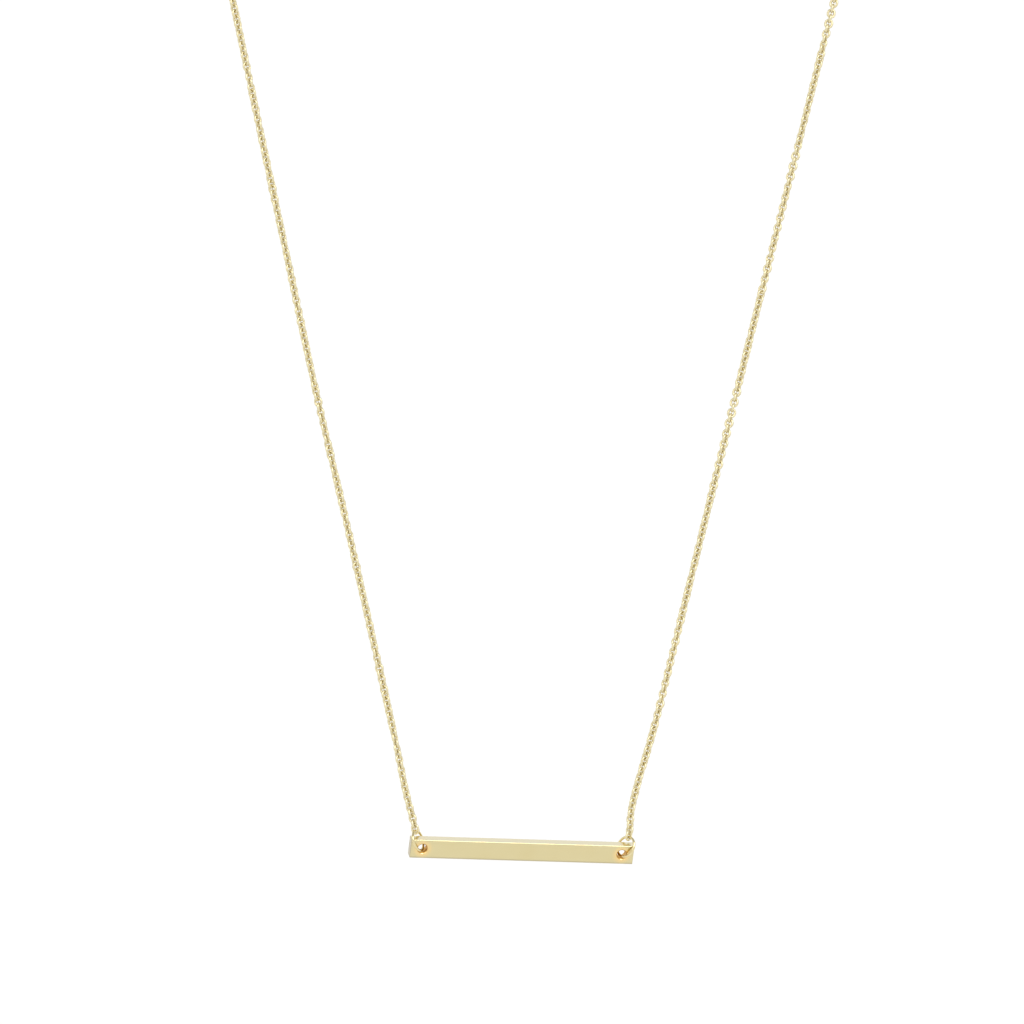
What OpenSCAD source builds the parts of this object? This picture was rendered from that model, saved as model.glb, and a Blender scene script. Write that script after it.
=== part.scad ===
// Bar necklace: a plain polished bar that hangs level from two jump rings on a fine cable chain.
// The frame: +Z up, -Y to the front, and +X to the right as seen from the front.
// The origin is the middle of the neck opening, between the two bends of the chain.

/* [Bar] */
// Length of the bar, end to end
bar_length = 30; // [20:0.5:45]
// Height of the bar's front face
bar_height = 2.6; // [2.2:0.1:4]
// Thickness of the bar, front to back
bar_thickness = 1.35; // [0.8:0.05:1.4]
// Radius that polishing leaves on the bar's edges
edge_radius = 0.1; // [0.04:0.01:0.2]
// Diameter of the hole at each end
hole_diameter = 1.25; // [1.2:0.05:1.6]
// Distance from a hole's centre to its end of the bar
hole_inset = 1.6; // [1.3:0.1:3]
// Distance from a hole's centre to the top of the bar
hole_drop = 1.25; // [1.15:0.05:1.3]
// Width of the broken edge round each hole's mouth
hole_break = 0.1; // [0.02:0.01:0.15]

/* [Jump rings] */
// Outer diameter of a jump ring
ring_diameter = 3.04; // [2.96:0.02:3.3]
// Thickness of a jump ring's wire
ring_wire = 0.34; // [0.28:0.02:0.36]
// How far a jump ring leans outwards, in degrees
ring_tilt = 30; // [24:1:34]
// How far a jump ring turns about the upright, in degrees
ring_turn = 30; // [10:1:32]
// Play that a jump ring keeps in its hole
ring_slack = 0.53; // [0.4:0.01:0.58]

/* [Chain] */
// Length of the closed necklace, measured along the chain and the bar
loop_length = 457; // [400:1:610]
// Width of the chain over its links
chain_width = 1.16; // [1.04:0.02:1.3]
// Thickness of a link's wire
link_wire = 0.32; // [0.24:0.01:0.34]
// Angle between each side of the chain and the upright, in degrees
spread_angle = 13.6; // [10:0.1:20]
// How far the chain leans back towards the neck, in degrees
lean_angle = 30; // [15:1:40]
// Gap that interlocked wires keep between them
link_gap = 0.06; // [0.04:0.01:0.08]

/* [Clasp] */
// Outer diameter of the spring ring
clasp_diameter = 5.5; // [5:0.1:7]
// Thickness of the spring ring's tube
clasp_wire = 1.1; // [0.9:0.05:1.3]
// Outer diameter of the eye on the spring ring
eye_diameter = 2; // [1.9:0.1:2.4]
// Thickness of the eye's wire
eye_wire = 0.36; // [0.3:0.02:0.4]
// Length of the lever's thumb piece
lever_length = 0.9; // [0.6:0.1:1.2]
// Place of the lever round the spring ring, in degrees from the tag ring's side
lever_angle = 135; // [100:5:150]

/* [Hidden] */
gold = "#dfd1a3";

// Facets that only set how smooth a preview looks
round_fn = 64;
wire_fn = 24;

// A chain's tube has flat sides, and rings along its straight run and its bend
tube_sides = 8;
straight_steps = 9;
bend_steps = 28;

function unit(v) = v / norm(v);
function radians(angle) = angle * PI / 180;

// The chain lies in one plane that leans back: up the plane, and out of its front
plane_up = [0, sin(lean_angle), cos(lean_angle)];
plane_front = [0, -cos(lean_angle), sin(lean_angle)];
function on_plane(x, up) = [x, 0, 0] + up * plane_up;
chain_direction = on_plane(sin(spread_angle), cos(spread_angle));

// A jump ring: its middle circle, its axis, and the direction in which the chain pulls it
ring_radius = (ring_diameter - ring_wire) / 2;
ring_axis = [cos(ring_tilt) * cos(ring_turn), cos(ring_tilt) * sin(ring_turn), -sin(ring_tilt)];
ring_pull = unit(chain_direction - (chain_direction * ring_axis) * ring_axis);

// The right hole's centre, measured from the bar's middle
hole_centre = [bar_length / 2 - hole_inset, 0, bar_height / 2 - hole_drop];

// The ring's centre above its hole. The ring's plane runs through the hole's centre, at a slant to
// the hole, and the wire bears on both rims of the hole, less its slack.
slant_length = bar_thickness / norm([ring_axis[0], ring_axis[2]]);
ring_rise = hole_diameter / 2 - ring_wire / 2 - ring_slack
    + sqrt(pow(ring_radius, 2) - pow(slant_length / 2, 2));
ring_centre = hole_centre + ring_rise * unit([-ring_axis[2], 0, ring_axis[0]]);

// The place on the ring's wire that the chain holds, measured from the bar's middle
pull_offset = ring_centre + ring_radius * ring_pull;

// An end link's length between the centres of its two bends: it holds a wire and the next link
end_link_reach = ring_wire + 2 * link_wire + 3 * link_gap;
// From the centre of the wire that a link holds, to the link's near and far ends
function link_near(held_wire) = (held_wire + link_wire) / 2 + link_gap;
function link_far(held_wire) = end_link_reach - link_near(held_wire);
function tube_start(held_wire) = link_far(held_wire) + link_wire / 2 + link_gap;

// The spring ring, its eye and the tag ring lie in a straight row at the nape
clasp_radius = (clasp_diameter - clasp_wire) / 2;
eye_radius = (eye_diameter - eye_wire) / 2;
eye_offset = clasp_diameter / 2 + eye_radius;
tag_radius = ring_radius;
tag_offset = clasp_radius - clasp_wire / 2 - ring_wire / 2 - link_gap + tag_radius;
clasp_shift = (eye_offset + eye_radius - tag_offset - tag_radius) / 2;
row_reach = (eye_offset + eye_radius + tag_offset + tag_radius) / 2;
left_chain_top = row_reach + tube_start(eye_wire);
right_chain_top = row_reach + tube_start(ring_wire);
straight_half = max(left_chain_top, right_chain_top);

// Bend radius at the nape, from the length of half the loop: straight run, bend and clasp row
half_length = loop_length / 2 - pull_offset[0];
bend_radius = (half_length - straight_half + (pull_offset[0] - straight_half) / sin(spread_angle))
    / (cos(spread_angle) / sin(spread_angle) + PI / 2 + radians(spread_angle));
straight_length = (bend_radius * cos(spread_angle) + straight_half - pull_offset[0]) / sin(spread_angle);
drop = bend_radius * sin(spread_angle) + straight_length * cos(spread_angle);
pull_point = on_plane(pull_offset[0], -drop);
bar_centre = pull_point - pull_offset;

// Route of the right chain: straight up from its jump ring, then round the nape
straight_start = tube_start(ring_wire);
straight_route = [for (i = [0 : straight_steps])
    pull_point + (straight_start + (straight_length - straight_start) * i / straight_steps)
        * chain_direction];
bend_route = [for (i = [1 : bend_steps])
    let (turn = -spread_angle + (90 + spread_angle) * i / bend_steps)
    on_plane(straight_half + bend_radius * cos(turn), bend_radius * sin(turn))];

// A closed tube along points that lie in the chain's plane
module flat_tube(route, width) {
    last = len(route) - 1;
    directions = [for (i = [0 : last]) unit(route[min(i + 1, last)] - route[max(i - 1, 0)])];
    points = [for (i = [0 : last], j = [0 : tube_sides - 1])
        route[i] + width / 2 * (cos(360 * j / tube_sides) * cross(plane_front, directions[i])
            + sin(360 * j / tube_sides) * plane_front)];
    sides = [for (i = [0 : last - 1], j = [0 : tube_sides - 1])
        let (k = (j + 1) % tube_sides)
        [i * tube_sides + j, (i + 1) * tube_sides + j, (i + 1) * tube_sides + k, i * tube_sides + k]];
    first_cap = [[for (j = [0 : tube_sides - 1]) j]];
    last_cap = [[for (j = [tube_sides - 1 : -1 : 0]) last * tube_sides + j]];
    polyhedron(points, concat(first_cap, sides, last_cap));
}

// A rectangle with round corners
module rounded_rectangle(width, height, radius) {
    square([width - 2 * radius, height], center = true);
    square([width, height - 2 * radius], center = true);
    for (x = [-1, 1], y = [-1, 1])
        translate([x * (width / 2 - radius), y * (height / 2 - radius)])
            circle(r = radius, $fn = wire_fn);
}

// A closed ring of round wire about the Z axis
module wire_ring(middle_radius, wire) {
    rotate_extrude($fn = round_fn)
        translate([middle_radius, 0])
            circle(d = wire, $fn = wire_fn);
}

// Sets its children in a frame with a given origin and axes
module in_frame(origin, x_axis, y_axis, z_axis)
    multmatrix([for (i = [0 : 2]) [x_axis[i], y_axis[i], z_axis[i], origin[i]]])
        children();

// An oval link in the XZ plane, with the centre of its lower bend's wire at z = 0
module oval_link(reach) {
    bend = (chain_width - link_wire) / 2;
    leg = reach - 2 * bend;
    for (x = [-bend, bend])
        translate([x, 0, bend])
            cylinder(d = link_wire, h = leg, $fn = wire_fn);
    translate([0, 0, bend + leg])
        rotate([90, 0, 0])
            rotate_extrude(angle = 180, $fn = round_fn)
                translate([bend, 0])
                    circle(d = link_wire, $fn = wire_fn);
    translate([0, 0, bend])
        rotate([-90, 0, 0])
            rotate_extrude(angle = 180, $fn = round_fn)
                translate([bend, 0])
                    circle(d = link_wire, $fn = wire_fn);
}

// A link that hangs on a held wire at a point, and runs off along a direction
module hanging_link(point, direction, held_wire, wire_direction) {
    in_frame(point - link_near(held_wire) * direction, cross(wire_direction, direction), wire_direction,
        direction)
        oval_link(end_link_reach);
}

// The bar: milled from flat stock, drilled at both ends and polished all over
module bar() {
    color(gold)
        translate(bar_centre)
            difference() {
                intersection() {
                    rotate([90, 0, 90])
                        linear_extrude(bar_length, center = true)
                            rounded_rectangle(bar_thickness, bar_height, edge_radius);
                    rotate([90, 0, 0])
                        linear_extrude(bar_thickness, center = true)
                            rounded_rectangle(bar_length, bar_height, edge_radius);
                    linear_extrude(bar_height, center = true)
                        rounded_rectangle(bar_length, bar_thickness, edge_radius);
                }
                for (side = [0, 1])
                    mirror([side, 0, 0])
                        translate(hole_centre)
                            rotate([90, 0, 0])
                                drilled_hole();
            }
}

// A through hole along Z with a broken edge at each mouth
module drilled_hole() {
    cylinder(d = hole_diameter, h = 2 * bar_thickness, center = true, $fn = round_fn);
    for (z = [0, 1])
        mirror([0, 0, z])
            translate([0, 0, bar_thickness / 2 - hole_break])
                cylinder(d1 = hole_diameter, d2 = hole_diameter + 4 * hole_break, h = 2 * hole_break,
                    $fn = round_fn);
}

module jump_ring_right() {
    color(gold)
        translate(bar_centre + ring_centre)
            rotate([0, ring_tilt, ring_turn])
                rotate([0, 90, 0])
                    wire_ring(ring_radius, ring_wire);
}

module jump_ring_left() mirror([1, 0, 0]) jump_ring_right();

module end_link_right() {
    color(gold)
        hanging_link(pull_point, chain_direction, ring_wire, cross(ring_axis, ring_pull));
}

module end_link_left() mirror([1, 0, 0]) end_link_right();

module chain_right() color(gold) flat_tube(concat(straight_route, bend_route), chain_width);

module chain_left() mirror([1, 0, 0]) chain_right();

// The clasp row is laid along X at the top of the loop
module at_nape() in_frame(on_plane(0, bend_radius), [1, 0, 0], plane_up, plane_front) children();

module top_link_right() {
    color(gold)
        at_nape()
            hanging_link([clasp_shift + tag_offset + tag_radius, 0, 0], [1, 0, 0], ring_wire, [0, 0, 1]);
}

module top_link_left() {
    color(gold)
        at_nape()
            hanging_link([clasp_shift - eye_offset - eye_radius, 0, 0], [-1, 0, 0], eye_wire, [0, 1, 0]);
}

// The tag ring: the chain's own end ring, which the spring ring closes on
module tag_ring() {
    color(gold)
        at_nape()
            translate([clasp_shift + tag_offset, 0, 0])
                rotate([90, 0, 0])
                    wire_ring(tag_radius, ring_wire);
}

// The spring ring: a hollow ring with its eye soldered on and its lever's thumb piece, shown shut
module clasp() {
    color(gold)
        at_nape()
            translate([clasp_shift, 0, 0]) {
                wire_ring(clasp_radius, clasp_wire);
                translate([-eye_offset, 0, 0])
                    wire_ring(eye_radius, eye_wire);
                rotate([0, 0, lever_angle])
                    translate([clasp_radius + clasp_wire / 4, 0, 0])
                        rotate([0, 90, 0])
                            cylinder(d = eye_wire, h = clasp_wire / 4 + lever_length, $fn = wire_fn);
            }
}

bar();
jump_ring_left();
jump_ring_right();
end_link_left();
end_link_right();
chain_left();
chain_right();
top_link_left();
top_link_right();
clasp();
tag_ring();
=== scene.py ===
"""A bar necklace in pale yellow gold: a level polished bar on two jump rings and a fine cable chain."""
import math

import bpy
import numpy as np
from mathutils import Matrix, Vector


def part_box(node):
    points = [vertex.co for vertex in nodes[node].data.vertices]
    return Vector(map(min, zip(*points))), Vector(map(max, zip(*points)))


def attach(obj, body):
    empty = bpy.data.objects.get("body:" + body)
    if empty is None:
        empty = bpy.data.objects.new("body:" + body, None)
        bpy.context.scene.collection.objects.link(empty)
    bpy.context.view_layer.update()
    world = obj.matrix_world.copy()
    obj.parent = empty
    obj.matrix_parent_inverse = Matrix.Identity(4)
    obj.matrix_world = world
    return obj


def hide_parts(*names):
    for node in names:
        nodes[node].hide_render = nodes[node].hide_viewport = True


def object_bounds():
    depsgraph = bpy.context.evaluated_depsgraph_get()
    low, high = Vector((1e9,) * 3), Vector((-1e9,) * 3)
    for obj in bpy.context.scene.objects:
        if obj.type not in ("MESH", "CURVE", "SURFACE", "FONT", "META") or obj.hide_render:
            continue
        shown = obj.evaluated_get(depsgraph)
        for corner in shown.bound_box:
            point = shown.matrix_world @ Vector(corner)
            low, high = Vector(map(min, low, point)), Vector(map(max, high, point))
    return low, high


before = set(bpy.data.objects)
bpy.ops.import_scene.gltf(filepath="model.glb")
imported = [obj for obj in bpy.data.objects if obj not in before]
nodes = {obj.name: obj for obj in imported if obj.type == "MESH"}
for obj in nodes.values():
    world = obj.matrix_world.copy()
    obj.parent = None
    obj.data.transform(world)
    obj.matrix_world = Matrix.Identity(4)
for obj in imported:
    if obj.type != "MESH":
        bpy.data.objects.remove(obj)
cad_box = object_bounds()
MM = 0.001


# The bar
# Flat stock of 14 carat gold, sawn to length, drilled at both ends, filed and buffed to a mirror.
# Buffing along the bar leaves hair lines and a faint swell in the face. Round the two holes a warm glow
# is painted into the colour.
FACE_GOLD, WARM_GOLD, PATCH_WIDTH = "#DCD0A4", "#D8CA9A", 3 * MM
# The top face's paler colour is painted light from above
TOP_LIT_GOLD = "#E6DEC0"
# The ends and a band along the lower edge are painted darker: painted shade
EDGE_SHADE_GOLD = "#B6AA8B"
# A painted warm glow round each hole, painted shade on the holes' walls, and the walls' roughness
GLOW_GOLD, HOLE_SHADE_GOLD, HOLE_ROUGH = "#EED296", "#D9A94F", 0.45
# Real hair lines are finer: these are drawn 0.05 mm wide, so that they show
HAIR_LENGTH, HAIR_WIDTH, HAIR_DEPTH = 2.5 * MM, 0.05 * MM, 0.0006 * MM
# The face's roughness where the hairs' noise is low and high, and where that noise mostly lies
FACE_ROUGH_LOW, FACE_ROUGH_HIGH = 0.13, 0.22
NOISE_LOW, NOISE_HIGH = 0.3, 0.7
SWELL_WIDTH, SWELL_DEPTH = 2.2 * MM, 0.004 * MM
HOLE_INSET, HOLE_DROP, HOLE_RADIUS = 1.6 * MM, 1.25 * MM, 0.625 * MM
HOLE_BREAK, GLOW_WIDTH = 0.1 * MM, 0.75 * MM
EDGE_RADIUS, LOWER_SHADE_HEIGHT = 0.1 * MM, 0.3 * MM


def linear(hex_colour):
    """Linear RGBA of an sRGB hex colour: a straight toe, then the 2.4 power curve."""
    rgb = np.array([int(hex_colour[i:i + 2], 16) for i in (1, 3, 5)]) / 255
    curve = np.where(rgb <= 0.04045, rgb / 12.92, ((rgb + 0.055) / 1.055) ** 2.4)
    return (*map(float, curve), 1.0)


def add(tree, kind, inputs, **settings):
    """Adds one shader node. An input given as a socket is linked, and any other is set as a value."""
    made = tree.nodes.new(kind)
    for name, value in settings.items():
        setattr(made, name, value)
    for name, value in inputs.items():
        if isinstance(value, bpy.types.NodeSocket):
            tree.links.new(value, made.inputs[name])
        else:
            made.inputs[name].default_value = value
    return made


def new_material(name):
    """An empty node material and its tree."""
    material = bpy.data.materials.new(name)
    material.use_nodes = True
    material.node_tree.nodes.clear()
    return material, material.node_tree


def dress(material, *names):
    """Gives CAD nodes a material in place of their own."""
    for name in names:
        nodes[name].data.materials.clear()
        nodes[name].data.materials.append(material)


bar_low, bar_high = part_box("bar")
bar_centre = (bar_low + bar_high) / 2

bar_gold, tree = new_material("buffed_gold")
place = add(tree, "ShaderNodeTexCoord", {}).outputs["Object"]
hair_place = add(tree, "ShaderNodeMapping", {
    "Vector": place, "Scale": (1 / HAIR_LENGTH, 1 / HAIR_WIDTH, 1 / HAIR_WIDTH)})
hairs = add(tree, "ShaderNodeTexNoise", {"Vector": hair_place.outputs[0], "Scale": 1.0, "Detail": 2.0})
swell = add(tree, "ShaderNodeTexNoise", {"Vector": place, "Scale": 1 / SWELL_WIDTH, "Detail": 0.0})
swelled = add(tree, "ShaderNodeBump", {
    "Height": swell.outputs[0], "Distance": SWELL_DEPTH, "Strength": 1.0})
scratched = add(tree, "ShaderNodeBump", {
    "Height": hairs.outputs[0], "Distance": HAIR_DEPTH, "Strength": 1.0, "Normal": swelled.outputs[0]})
gloss = add(tree, "ShaderNodeMapRange", {
    "Value": hairs.outputs[0], "From Min": NOISE_LOW, "From Max": NOISE_HIGH,
    "To Min": FACE_ROUGH_LOW, "To Max": FACE_ROUGH_HIGH})

# How far a point lies above the bar's middle, out from it, and from the axis of the nearer hole
half = (bar_high - bar_low) / 2
from_middle = add(tree, "ShaderNodeVectorMath", {0: place, 1: tuple(bar_centre)}, operation="SUBTRACT")
above = add(tree, "ShaderNodeSeparateXYZ", {"Vector": from_middle.outputs[0]}).outputs["Z"]
folded = add(tree, "ShaderNodeVectorMath", {0: from_middle.outputs[0]}, operation="ABSOLUTE")
outward = add(tree, "ShaderNodeSeparateXYZ", {"Vector": folded.outputs[0]}).outputs["X"]
flat = add(tree, "ShaderNodeCombineXYZ", {"X": outward, "Z": above})
hole_axis = (half.x - HOLE_INSET, 0, half.z - HOLE_DROP)
from_hole = add(tree, "ShaderNodeVectorMath", {
    0: flat.outputs[0], 1: hole_axis}, operation="DISTANCE").outputs["Value"]
mouth = HOLE_RADIUS + HOLE_BREAK

# Wide patches of the face are a little warmer than others. A Mix node's inputs 6 and 7 are its
# colours, and 2 and 3 its numbers.
patches = add(tree, "ShaderNodeTexNoise", {"Vector": place, "Scale": 1 / PATCH_WIDTH, "Detail": 1.0})
face = add(tree, "ShaderNodeMix", {
    "Factor": patches.outputs[0], 6: linear(FACE_GOLD), 7: linear(WARM_GOLD)}, data_type="RGBA")
colour = face.outputs[2]
# Over the face come the top, painted paler as light from above, the ends and the lower edge, painted
# darker as shade, a painted warm glow round each hole and painted shade on its wall. Each sets in
# smoothly between two measures.
for gold, measure, bare, covered in (
        (TOP_LIT_GOLD, above, half.z - EDGE_RADIUS / 3, half.z),
        (EDGE_SHADE_GOLD, outward, half.x - EDGE_RADIUS, half.x),
        (EDGE_SHADE_GOLD, above, LOWER_SHADE_HEIGHT - half.z, EDGE_RADIUS / 2 - half.z),
        (GLOW_GOLD, from_hole, mouth + GLOW_WIDTH, mouth),
        (HOLE_SHADE_GOLD, from_hole, mouth, HOLE_RADIUS)):
    cover = add(tree, "ShaderNodeMapRange", {
        "Value": measure, "From Min": bare, "From Max": covered}, interpolation_type="SMOOTHSTEP")
    layer = add(tree, "ShaderNodeMix", {
        "Factor": cover.outputs[0], 6: colour, 7: linear(gold)}, data_type="RGBA")
    colour = layer.outputs[2]
# The last cover is the holes' walls, painted in shade, which a drill leaves rougher than the wheel
# leaves the faces
gloss = add(tree, "ShaderNodeMix", {
    "Factor": cover.outputs[0], 2: gloss.outputs[0], 3: HOLE_ROUGH}, data_type="FLOAT")
surface = add(tree, "ShaderNodeBsdfPrincipled", {
    "Base Color": colour, "Metallic": 1.0, "Roughness": gloss.outputs[0],
    "Normal": scratched.outputs[0]})
add(tree, "ShaderNodeOutputMaterial", {"Surface": surface.outputs[0]})
dress(bar_gold, "bar")


# The jump rings and the tag ring
# Round gold wire, drawn through a plate, wound on a rod, cut and closed: two on the bar's holes, and
# one at the end of the chain for the clasp. Tumbling leaves small dents and a bright gloss.
RING_GOLD, RING_DARK = "#ECE0B6", "#D6C48E"
DENT_WIDTH, DENT_DEPTH = 0.35 * MM, 0.002 * MM
RING_ROUGH = 0.16

ring_gold, tree = new_material("drawn_gold_wire")
place = add(tree, "ShaderNodeTexCoord", {}).outputs["Object"]
dents = add(tree, "ShaderNodeTexNoise", {"Vector": place, "Scale": 1 / DENT_WIDTH, "Detail": 1.0})
dented = add(tree, "ShaderNodeBump", {
    "Height": dents.outputs[0], "Distance": DENT_DEPTH, "Strength": 1.0})
tint = add(tree, "ShaderNodeMix", {
    "Factor": dents.outputs[0], 6: linear(RING_DARK), 7: linear(RING_GOLD)}, data_type="RGBA")
surface = add(tree, "ShaderNodeBsdfPrincipled", {
    "Base Color": tint.outputs[2], "Metallic": 1.0, "Roughness": RING_ROUGH,
    "Normal": dented.outputs[0]})
add(tree, "ShaderNodeOutputMaterial", {"Surface": surface.outputs[0]})
dress(ring_gold, "jump_ring_left", "jump_ring_right", "tag_ring")


# The chain
# Cable chain: oval links of round wire, each closed through the one before and turned a quarter
# round from it. They are made by machine, soldered and tumbled, and the whole chain twists slowly.
# The inner side of each link's wire is painted darker towards LINK_SHADE: painted shade
LINK_GOLD, LINK_SHADE = "#E5DAB3", "#CDB478"
SHADE_AMOUNT, LINK_ROUGH = 0.3, 0.35
LINK_WIDTH, LINK_WIRE, LINK_REACH, LINK_PITCH = 1.20 * MM, 0.32 * MM, 1.06 * MM, 0.72 * MM
# How far each side's straight part leans outwards
SPREAD = math.radians(13.6)
# Points round each of a link's two bends, and sides of its wire
BEND_POINTS, WIRE_SIDES = 7, 6
# How each side hangs off its straight line, in mm: where along it, over what length, and how far to
# the right. These bows set in over BOW_SETTLE from the end link.
BOWS = {"left": ((5.5, 4, -0.14), (60, 15, -0.20), (115, 20, 0.35)),
        "right": ((5, 7, -0.45), (60, 60, -0.22))}
BOW_SETTLE = 2 * MM
# How far single links stray from their place, but for the roll of the first and last few
ROLL_STRAY, TILT_STRAY, STEADY_LINKS = math.radians(7), math.radians(1.5), 12
STRAY_SEED = 5
# How far each side has turned about itself once it hangs free, and by how much it wavers
TWIST = {"left": math.radians(19), "right": math.radians(-4)}
TWIST_WAVE, TWIST_LENGTH, TWIST_SETTLE = math.radians(9), 31 * MM, 5 * MM
# Short stretches that turn further: where along the side and over what length in mm, and by how
# many degrees
TURNS = {"left": (), "right": ((59, 2.5, -28), (94, 2, -28), (114, 3, -28))}


def link_grid():
    """One oval link on a grid, in its own frame, with how far each point faces the link's hole.
    The line along the wire is two half circles, moved apart by the straight legs, and the wire is
    a circle round it: along (cos a, sin a) in the link's plane and across that plane."""
    bend = (LINK_WIDTH - LINK_WIRE) / 2
    leg = LINK_REACH - 2 * bend
    half = np.linspace(0, math.pi, BEND_POINTS)
    turn = np.concatenate([half, half + math.pi])[:, None]
    lift = np.repeat([leg / 2, -leg / 2], BEND_POINTS)[:, None]
    around = np.arange(WIRE_SIDES)[None, :] * 2 * math.pi / WIRE_SIDES
    # The polygon's corners stand out a little, so that it is as thick on average as round wire
    wire = LINK_WIRE / 2 / math.sqrt(math.cos(math.pi / WIRE_SIDES))
    out = bend + wire * np.cos(around)
    thick = wire * np.sin(around) + 0 * turn
    points = np.stack([out * np.cos(turn), thick, out * np.sin(turn) + lift], -1)
    inward = np.broadcast_to((1 - np.cos(around)) / 2, points.shape[:2])
    return points.reshape(-1, 3), inward.reshape(-1)


def ring_faces(rows, columns):
    """Quads of a grid that closes on itself both ways, facing outwards."""
    i, j = np.meshgrid(np.arange(rows), np.arange(columns), indexing="ij")
    k, m = (i + 1) % rows, (j + 1) % columns
    corners = [i * columns + j, i * columns + m, k * columns + m, k * columns + j]
    return np.stack(corners, -1).reshape(-1, 4)


def node_points(name):
    """A CAD node's points, one row each."""
    mesh = nodes[name].data
    points = np.zeros(len(mesh.vertices) * 3)
    mesh.vertices.foreach_get("co", points)
    return points.reshape(-1, 3)


def flat_axis(name):
    """The direction in which a flat CAD node is thinnest: the axis of its points' least spread."""
    points = node_points(name)
    spreads, axes = np.linalg.eigh(np.cov((points - points.mean(0)).T))
    return axes[:, 0]


def middle(name):
    """The middle of a CAD node's box."""
    low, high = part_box(name)
    return np.array((low + high) / 2)


def chain_line(foot, top, arc_end, side):
    """One side of the necklace: a function that gives points and headings by the distance along it,
    its length, and the front of its plane, which leans back as far as the top lies behind the foot.
    The side runs straight up from the foot at the spread angle, then round a circle that touches
    both that line and the level line through the top, and then level to the top."""
    height = math.hypot(top[1] - foot[1], top[2] - foot[2])
    up = np.array([0, top[1] - foot[1], top[2] - foot[2]]) / height
    out = np.array([side, 0, 0])
    reach = abs(foot[0]) - arc_end
    radius = (reach * math.cos(SPREAD) + height * math.sin(SPREAD)) / (1 + math.sin(SPREAD))
    straight = (height - radius * (1 + math.sin(SPREAD))) / math.cos(SPREAD)
    bend = radius * (SPREAD + math.pi / 2)

    def line(distance):
        turn = math.pi / 2 - SPREAD + np.clip(distance - straight, 0, bend) / radius
        along = np.minimum(distance, straight)
        level = np.maximum(distance - straight - bend, 0)
        x = along * math.sin(SPREAD) + radius * (np.sin(turn) - math.cos(SPREAD)) - level
        z = along * math.cos(SPREAD) + radius * (math.sin(SPREAD) - np.cos(turn))
        points = foot + np.outer(x, out) + np.outer(z, up)
        return points, np.outer(np.cos(turn), out) + np.outer(np.sin(turn), up)

    return line, straight + bend + arc_end - abs(top[0]), np.array([0, -up[2], up[1]])


def humps(distance, rows):
    """The sum of smooth humps along a line, one for each row (place in mm, length in mm, height):
    height * exp(-((distance - place) / length)^2)."""
    total = np.zeros_like(distance)
    for place, length, height in rows:
        total += height * np.exp(-((distance / MM - place) / length) ** 2)
    return total


def hang_chain(name, material):
    """All the links of one side, between its end link and its top link, as one mesh.
    Link k stands k pitches along the line. Its frame is the line's heading and a width direction,
    which turns by a quarter from link to link, by the chain's own twist and by a small stray."""
    side = 1 if name == "right" else -1
    low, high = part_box(f"chain_{name}")
    arc_end = min(abs(low.x), abs(high.x))
    foot, top = middle(f"end_link_{name}"), middle(f"top_link_{name}")
    line, length, front = chain_line(foot, top, arc_end, side)
    count = round(length / LINK_PITCH) - 1
    distance = length * np.arange(1, count + 1) / (count + 1)
    centres, headings = line(distance)
    widths = np.cross(headings, front)
    sway = humps(distance, BOWS[name]) * MM * (1 - np.exp(-(distance / BOW_SETTLE) ** 2))
    centres += sway[:, None] * widths
    headings += np.gradient(sway, distance)[:, None] * widths
    headings /= np.linalg.norm(headings, axis=1)[:, None]
    widths = np.cross(headings, front)

    def roll_of(axis, k):
        return math.atan2(axis @ front, axis @ widths[k])

    wave = TWIST_WAVE * np.sin(2 * math.pi * distance / TWIST_LENGTH)
    twist = (TWIST[name] + wave) * (1 - np.exp(-distance / TWIST_SETTLE))
    twist += np.radians(humps(distance, TURNS[name]))
    roll = roll_of(flat_axis(f"end_link_{name}"), 0) + math.pi / 2 * np.arange(count) + twist
    # Round the nape it turns on, by less than a half turn, until it fits the top link
    still = (roll_of(flat_axis(f"top_link_{name}"), -1) - roll[-1]) % math.pi
    share = np.clip(2 * distance / length - 1, 0, 1)
    roll += still * share ** 2 * (3 - 2 * share)
    chance = np.random.default_rng(side + STRAY_SEED)
    from_end = np.minimum(np.arange(1, count + 1), np.arange(count, 0, -1))
    roll += ROLL_STRAY * chance.standard_normal(count) * np.minimum(from_end / STEADY_LINKS, 1)

    across = np.cos(roll)[:, None] * widths + np.sin(roll)[:, None] * front
    headings = headings + TILT_STRAY * chance.standard_normal((count, 1)) * across
    headings /= np.linalg.norm(headings, axis=1)[:, None]
    across -= (across * headings).sum(1)[:, None] * headings
    across /= np.linalg.norm(across, axis=1)[:, None]
    normals = np.cross(headings, across)

    grid, inward = link_grid()
    axes = np.stack([across, normals, headings], 1)
    points = centres[:, None] + grid @ axes
    faces = ring_faces(2 * BEND_POINTS, WIRE_SIDES)
    faces = faces[None] + len(grid) * np.arange(count)[:, None, None]
    mesh = bpy.data.meshes.new(f"links_{name}")
    mesh.from_pydata(points.reshape(-1, 3), [], faces.reshape(-1, 4))
    mesh.polygons.foreach_set("use_smooth", [True] * len(mesh.polygons))
    mesh.attributes.new("inward", "FLOAT", "POINT").data.foreach_set("value", np.tile(inward, count))
    mesh.materials.append(material)
    links = bpy.data.objects.new(f"links_{name}", mesh)
    bpy.context.scene.collection.objects.link(links)
    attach(links, "necklace")
    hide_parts(f"chain_{name}")


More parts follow.
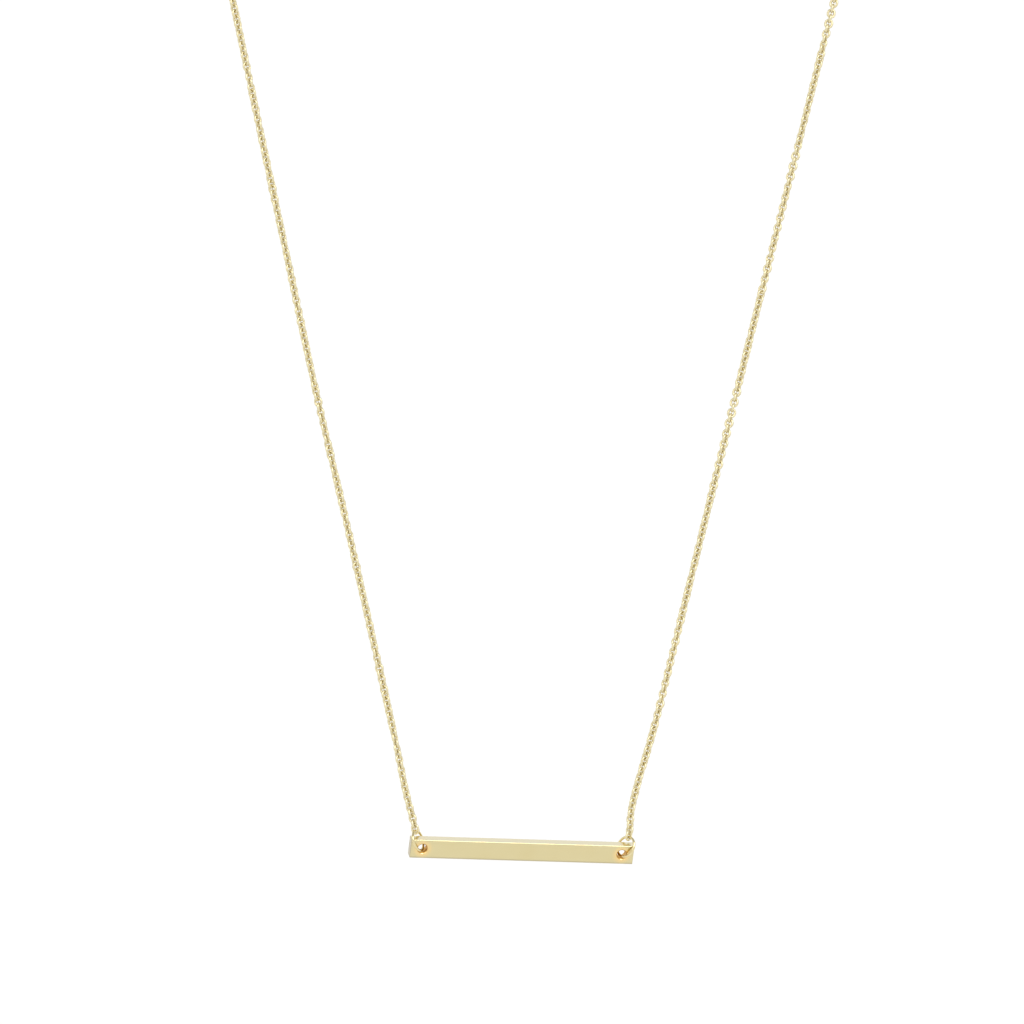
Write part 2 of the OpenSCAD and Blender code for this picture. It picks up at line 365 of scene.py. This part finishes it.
def link_metal(name):
    """Tumbled gold: a soft even gloss, and painted shade on the inner side of each link's wire, patchy
    by a noise.
    """
    material, tree = new_material(name)
    place = add(tree, "ShaderNodeTexCoord", {}).outputs["Object"]
    cast = add(tree, "ShaderNodeTexNoise", {"Vector": place, "Scale": 1 / LINK_REACH, "Detail": 1.0})
    inward = add(tree, "ShaderNodeAttribute", {}, attribute_name="inward").outputs["Fac"]
    painted_shade = add(tree, "ShaderNodeMath", {0: inward, 1: SHADE_AMOUNT}, operation="MULTIPLY")
    patchy_shade = add(tree, "ShaderNodeMath", {0: painted_shade.outputs[0], 1: cast.outputs[0]}, operation="MULTIPLY")
    tint = add(tree, "ShaderNodeMix", {
        "Factor": patchy_shade.outputs[0], 6: linear(LINK_GOLD), 7: linear(LINK_SHADE)}, data_type="RGBA")
    surface = add(tree, "ShaderNodeBsdfPrincipled", {
        "Base Color": tint.outputs[2], "Metallic": 1.0, "Roughness": LINK_ROUGH})
    add(tree, "ShaderNodeOutputMaterial", {"Surface": surface.outputs[0]})
    return material


link_gold = link_metal("tumbled_gold_links")
hang_chain("left", link_gold)
hang_chain("right", link_gold)
dress(link_gold, "end_link_left", "end_link_right", "top_link_left", "top_link_right")


# The clasp
# A spring ring: gold sheet drawn into a tube, bent round and polished, with its eye soldered on
# and the thumb piece of its sliding tongue.
CLASP_GOLD, CLASP_ROUGH = "#E4D3A0", 0.14
BUMP_WIDTH, BUMP_DEPTH = 0.8 * MM, 0.003 * MM

clasp_gold, tree = new_material("polished_gold_tube")
place = add(tree, "ShaderNodeTexCoord", {}).outputs["Object"]
dents = add(tree, "ShaderNodeTexNoise", {"Vector": place, "Scale": 1 / BUMP_WIDTH, "Detail": 2.0})
dented = add(tree, "ShaderNodeBump", {
    "Height": dents.outputs[0], "Distance": BUMP_DEPTH, "Strength": 1.0})
rubbed = add(tree, "ShaderNodeMapRange", {
    "Value": dents.outputs[0], "To Min": CLASP_ROUGH, "To Max": 2 * CLASP_ROUGH})
surface = add(tree, "ShaderNodeBsdfPrincipled", {
    "Base Color": linear(CLASP_GOLD), "Metallic": 1.0, "Roughness": rubbed.outputs[0],
    "Normal": dented.outputs[0]})
add(tree, "ShaderNodeOutputMaterial", {"Surface": surface.outputs[0]})
dress(clasp_gold, "clasp")


# The studio
# A wide pale floor far below the hanging necklace, a pale sky that is dimmer overhead, and two
# broad soft lights.
FLOOR_DROP, FLOOR_HALF = 1.2, 14.0
FLOOR_PAINT, FLOOR_ROUGH = "#F6F6F4", 0.9
# The sky's linear colour by the sine of the height: white up to 30 degrees, and dim from 51 up
SKY_LOW, SKY_HIGH = (0.50, (1.0, 1.0, 1.0, 1)), (0.78, (0.50, 0.50, 0.51, 1))
# Each light: name, azimuth to the right of the front, elevation and width in degrees, strength
LIGHTS = (("key_light", 22, 62, 34, 1.2), ("fill_light", -60, 45, 30, 0.35))

floor_mesh = bpy.data.meshes.new("floor")
floor_z = cad_box[0].z - FLOOR_DROP
floor_mesh.from_pydata(
    [(x * FLOOR_HALF, y * FLOOR_HALF, floor_z) for x, y in ((-1, -1), (1, -1), (1, 1), (-1, 1))], [],
    [(0, 1, 2, 3)])
floor = bpy.data.objects.new("floor", floor_mesh)
bpy.context.scene.collection.objects.link(floor)
floor_paint, tree = new_material("pale_floor")
surface = add(tree, "ShaderNodeBsdfPrincipled", {
    "Base Color": linear(FLOOR_PAINT), "Roughness": FLOOR_ROUGH})
add(tree, "ShaderNodeOutputMaterial", {"Surface": surface.outputs[0]})
floor_mesh.materials.append(floor_paint)

world = bpy.data.worlds.new("pale_sky")
bpy.context.scene.world = world
world.use_nodes = True
tree = world.node_tree
tree.nodes.clear()
height = add(tree, "ShaderNodeSeparateXYZ", {
    "Vector": add(tree, "ShaderNodeTexCoord", {}).outputs["Generated"]}).outputs["Z"]
sky = add(tree, "ShaderNodeValToRGB", {"Fac": height})
stops = sky.color_ramp.elements
stops[0].position, stops[0].color = SKY_LOW
stops[1].position, stops[1].color = SKY_HIGH
sky_light = add(tree, "ShaderNodeBackground", {"Color": sky.outputs[0], "Strength": 1.0})
add(tree, "ShaderNodeOutputWorld", {"Surface": sky_light.outputs[0]})

for name, azimuth, elevation, spread, strength in LIGHTS:
    light = bpy.data.lights.new(name, "SUN")
    light.angle = math.radians(spread)
    light.energy = strength
    lamp = bpy.data.objects.new(name, light)
    a, e = math.radians(azimuth), math.radians(elevation)
    towards = Vector((math.sin(a) * math.cos(e), -math.cos(a) * math.cos(e), math.sin(e)))
    lamp.rotation_euler = towards.to_track_quat("Z", "Y").to_euler()
    bpy.context.scene.collection.objects.link(lamp)


# The camera
# A long lens a little above the bar and to its left, tipped clockwise. The bar's middle is at the
# pixel BAR_AT of a picture PICTURE pixels wide, at PIXEL of real size.
PICTURE, BAR_AT, PIXEL = 1024, (521.4, 849.9), 0.1315 * MM
LENS, SENSOR, CLIP = 300.0, 36.0, (0.1, 40)
FROM_LEFT, FROM_ABOVE, ROLL = math.radians(13.8), math.radians(24.4), math.radians(7.5)

towards = Vector((-math.sin(FROM_LEFT) * math.cos(FROM_ABOVE),
                  -math.cos(FROM_LEFT) * math.cos(FROM_ABOVE), math.sin(FROM_ABOVE)))
level = Vector((math.cos(FROM_LEFT), -math.sin(FROM_LEFT), 0))
right = level * math.cos(ROLL) + towards.cross(level) * math.sin(ROLL)
up = towards.cross(right)
aim = bar_centre + PIXEL * (right * (PICTURE / 2 - BAR_AT[0]) + up * (BAR_AT[1] - PICTURE / 2))
eye = bar_centre + towards * (PIXEL * PICTURE * LENS / SENSOR)
back = (eye - aim).normalized()
right = up.cross(back).normalized()
camera = bpy.data.cameras.new("camera")
camera.lens, camera.sensor_width = LENS, SENSOR
camera.clip_start, camera.clip_end = CLIP
camera_object = bpy.data.objects.new("camera", camera)
camera_object.matrix_world = Matrix.Translation(eye) @ Matrix(
    (right, back.cross(right), back)).transposed().to_4x4()
bpy.context.scene.collection.objects.link(camera_object)
bpy.context.scene.camera = camera_object
bpy.context.scene.view_settings.view_transform = "Standard"
